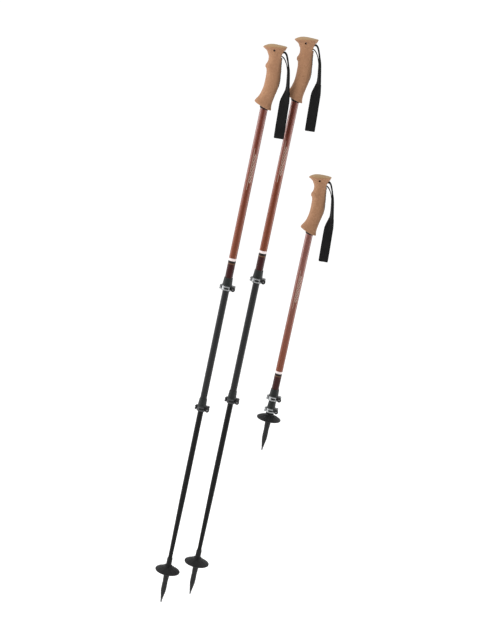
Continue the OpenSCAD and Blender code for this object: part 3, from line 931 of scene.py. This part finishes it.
def build_basket(p):
    body = p.n + "_lower_section"
    rb = p.rb / MM
    d = 7.0
    n = 144
    prof = [(6.66, -8), (8.2, -8), (8.6, -7.5), (8.6, -1.5), (9.5, d - 4.6), (14, d - 5.4), (20, -0.6), (24.2, -3.0), (rb - 1.6, -4.2),
            (rb - 0.4, -3.9), (rb, -3.0), (rb, -2.1), (rb - 0.5, -1.3), (rb - 1.6, -1.0), (24.2, -0.6), (20, 1.7), (14, d - 2.6), (9.8, d - 0.8),
            (8.8, d + 0.4), (8.4, 9.6), (8.0, 10), (6.66, 10)]
    prof = fillet(prof, 0.5, 3, closed=True)
    # more rings over the dome so the ribs read
    dense = []
    for a, b in zip(prof, prof[1:] + prof[:1]):
        m = max(1, int(math.dist(a, b) / 0.8))
        for k in range(m):
            dense.append((a[0] + (b[0] - a[0]) * k / m, a[1] + (b[1] - a[1]) * k / m))
    rings = []
    for (r, h) in dense:
        ring = []
        for j in range(n):
            f = 2 * math.pi * j / n
            hh = h
            top = r > 9.4 and h > -0.2 - (r - 20) * 0.55 if r > 20 else (r > 9.4 and h > 1.2)
            if top and 10.5 < r < rb - 1.2:
                q = (f * 12 / (2 * math.pi)) % 1.0
                w = 1.1 / r                                   # rib width in turns, about a millimetre
                dist = min(q, 1 - q) / 12 * 2 * math.pi
                fade = min(1.0, (r - 10.5) / 1.5, (rb - 1.2 - r) / 1.5)
                hh += 0.55 * math.exp(-(dist / (w * 0.75)) ** 2) * fade
                hh += 0.28 * math.exp(-((r - 18.0) / 0.55) ** 2)
            ring.append((p.x + r * MM * math.cos(f), p.y + r * MM * math.sin(f), p.zb + hh * MM))
        rings.append(ring)
    m = len(rings)
    me = bpy.data.meshes.new("basket")
    verts = [q for r in rings for q in r]
    faces = []
    for i in range(m):
        k = (i + 1) % m
        for j in range(n):
            l = (j + 1) % n
            faces.append((i * n + j, i * n + l, k * n + l, k * n + j))
    me.from_pydata(verts, [], faces)
    bm = bmesh.new()
    bm.from_mesh(me)
    bmesh.ops.recalc_face_normals(bm, faces=bm.faces)
    bm.to_mesh(me)
    bm.free()
    o = add(p.n + "_snow_basket", me, M_BASKET, body, [p.n + "_basket"])
    # webs under the disc and a locking notch round the hub
    bm = bmesh.new()
    for k in range(6):
        a = math.radians(60 * k)
        pts = [(8.0, -4.5), (8.0, 0.6), (20.5, -0.9), (20.5, -1.6)]
        for s in (-0.6, 0.6):
            pass
        v = []
        for s in (-0.6, 0.6):
            v.append([bm.verts.new((p.x + (r * math.cos(a) - s * math.sin(a)) * MM, p.y + (r * math.sin(a) + s * math.cos(a)) * MM, p.zb + h * MM))
                      for r, h in pts])
        bm.faces.new(v[0])
        bm.faces.new(list(reversed(v[1])))
        for q in range(4):
            bm.faces.new((v[0][q], v[0][(q + 1) % 4], v[1][(q + 1) % 4], v[1][q]))
    bmesh.ops.recalc_face_normals(bm, faces=bm.faces)
    bmesh.ops.bevel(bm, geom=list(bm.edges), offset=0.00018, segments=2, affect="EDGES")
    me = bpy.data.meshes.new("webs")
    bm.to_mesh(me)
    bm.free()
    add(p.n + "_basket_webs", me, M_BASKET, body, smooth=False)
    add(p.n + "_basket_lock_ring", lathe("ring", fillet([(8.35, 8.2), (8.95, 8.5), (8.95, 9.3), (8.3, 9.7), (7.6, 9.6), (7.6, 8.3)], 0.25, 2, closed=True),
                                         p.x, p.y, p.zb, 72, closed=True), M_TIP, body)


# ---------------------------------------------------------------- CAD nodes keep their shape and get their finish
def give(node, mat, bevel=0.0):
    o = NODES[node]
    if not o.data.materials:
        o.data.materials.append(mat)
    for k in range(len(o.material_slots)):
        o.material_slots[k].link = "OBJECT"
        o.material_slots[k].material = mat
    if bevel:
        b = o.modifiers.new("edge", "BEVEL")
        b.width = bevel * MM
        b.segments = 2
        b.limit_method = "ANGLE"
        b.angle_limit = math.radians(50)
        b.use_clamp_overlap = True
        b.harden_normals = False


def lever_lip(p, which, r, mat):
    """The free end of a lever, rolled outward so that a thumb can lift it."""
    z = p.z1 if which == "upper" else p.z2
    ra = r + 2.8 + 0.5
    n = 10
    rings = []
    for i in range(33):
        t = i / 32
        a = math.radians(150 + 45 * t)
        k = math.sin(math.pi * min(1.0, t * 0.62 + 0.02)) ** 0.8
        end = min(1.0, (1 - t) / 0.08)
        out_ = 1.9 + 1.9 * k * (0.35 + 0.65 * end ** 0.5)
        hh = 4.15 * (0.90 + 0.10 * end ** 0.5)
        prof = []
        for (u, q) in ((0.25, -1.0), (0.75, -0.97), (1.0, -0.80), (1.0, -0.38), (0.62, -0.22), (0.62, 0.22), (1.0, 0.38), (1.0, 0.80),
                       (0.75, 0.97), (0.25, 1.0)):
            rr = ra + 0.15 + (out_ - 0.15) * u
            prof.append((p.x + rr * MM * math.cos(a), p.y + rr * MM * math.sin(a), z + hh * q * MM))
        rings.append(prof)
    o = add("%s_%s_lever_lip" % (p.n, which), loft("lip", rings), mat, "%s_%s_lever_body" % (p.n, which))
    o.data.set_sharp_from_angle(angle=math.radians(40))


ru = 8 * MM
build_grips()
for p in POLES:
    build_strap(p)
    build_tip(p)
    build_basket(p)
    give(p.n + "_strap_pin", M_PIN)
    give(p.n + "_upper_tube", upper_shaft(p))
    give(p.n + "_middle_tube", tube_mat("middle_shaft_" + p.n, p.z2, [(0, (0.0125, 0.0128, 0.0135)), (470, (0.016, 0.0163, 0.017))], 0.42, 0.3, 0.05, None, 1.5, 0.3))
    give(p.n + "_lower_tube", tube_mat("lower_shaft_" + p.n, p.zb, [(0, (0.0038, 0.0038, 0.0039)), (470, (0.0050, 0.0050, 0.0051))], 0.38, 0.2, 0.02, None, 1.5, 0.16))
    give(p.n + "_middle_end_plug", M_BLACK)
    give(p.n + "_carbide_tip", M_CARBIDE)
    for k in ("upper", "lower"):
        dark = k == "lower" and p.n != "pole3"
        give(p.n + "_%s_collar" % k, M_COLLAR)
        give(p.n + "_%s_clamp_band" % k, M_DARKBAND if dark else M_SILVER)
        give(p.n + "_%s_lever" % k, M_DARKLEVER if dark else M_LEVER)
        lever_lip(p, k, 8.0 if k == "upper" else 7.0, M_DARKLEVER if dark else M_LEVER)
        give(p.n + "_%s_t_bolt" % k, M_STEEL)
        give(p.n + "_%s_thumb_nut" % k, M_BLACK)


# ---------------------------------------------------------------- stage and light
def stage():
    bpy.ops.mesh.primitive_plane_add(size=120, location=(0, 0, -0.0005))
    f = bpy.context.object
    f.name = "floor"
    m = Mat("floor_paper").set(Roughness=0.9, Specular_IOR_Level=0.1)
    n = m.noise(m.obj(), 3, 2)
    m.base(m.ramp(n, [(0.3, (0.925, 0.925, 0.925)), (0.7, (0.93, 0.93, 0.93))]))
    m.link(m.ramp(n, [(0.3, (0.985, 0.985, 0.985)), (0.7, (1.0, 1.0, 1.0))]), m.b.inputs["Emission Color"])
    m.set(Emission_Strength=0.34)
    f.data.materials.append(m.m)
    f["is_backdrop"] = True
    # dark card behind the camera, seen only in reflections
    bpy.ops.mesh.primitive_plane_add(size=1, location=(-0.03, -3.8, 1.6), rotation=(math.pi / 2, 0, 0))
    c = bpy.context.object
    c.name = "flag"
    c.scale = (5.6, 5.0, 1)
    d = Mat("flag_black").set(Roughness=1.0, Specular_IOR_Level=0.0)
    dn = d.noise(d.obj(), 2, 2)
    d.base(d.ramp(dn, [(0.3, (0.03, 0.03, 0.03)), (0.7, (0.04, 0.04, 0.04))]))
    c.data.materials.append(d.m)
    c.visible_camera = False
    c.visible_diffuse = False
    c.visible_shadow = False
    c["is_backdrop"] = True
    # a second card on the right takes some of the soft light away from that side
    bpy.ops.mesh.primitive_plane_add(size=1, location=(1.7, -1.1, 1.0), rotation=(0, math.pi / 2, math.radians(-25)))
    c2 = bpy.context.object
    c2.name = "flag_right"
    c2.scale = (1.5, 1.8, 1)
    c2.data.materials.append(d.m)
    c2.visible_camera = False
    c2.visible_glossy = False
    c2.visible_shadow = False
    c2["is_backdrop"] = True


stage()
w = bpy.data.worlds.new("studio")
scene.world = w
w.use_nodes = True
w.node_tree.nodes["Background"].inputs[0].default_value = (1, 1, 1, 1)
w.node_tree.nodes["Background"].inputs[1].default_value = 0.76


def area(name, loc, target, size, power, glossy=True):
    l = bpy.data.lights.new(name, "AREA")
    l.shape = "RECTANGLE"
    l.size, l.size_y = size
    l.energy = power
    o = bpy.data.objects.new(name, l)
    scene.collection.objects.link(o)
    o.location = loc
    o.rotation_mode = "QUATERNION"
    o.rotation_quaternion = (Vector(target) - Vector(loc)).to_track_quat("-Z", "Y")
    o.visible_camera = False
    o.visible_glossy = glossy
    return o


area("key", (-1.8, -2.6, 2.8), (0, 0, 0.7), (1.6, 1.6), 44, glossy=False)
area("side_left", (-2.4, 0.2, 1.0), (0, 0, 0.7), (0.7, 2.6), 26)
area("side_right", (2.4, 0.1, 1.0), (0, 0, 0.7), (0.7, 2.6), 24)

scene.view_settings.view_transform = "Standard"
scene.view_settings.look = "None"
scene.view_settings.exposure = 0.0
scene.view_settings.gamma = 1.0

lo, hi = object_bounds()
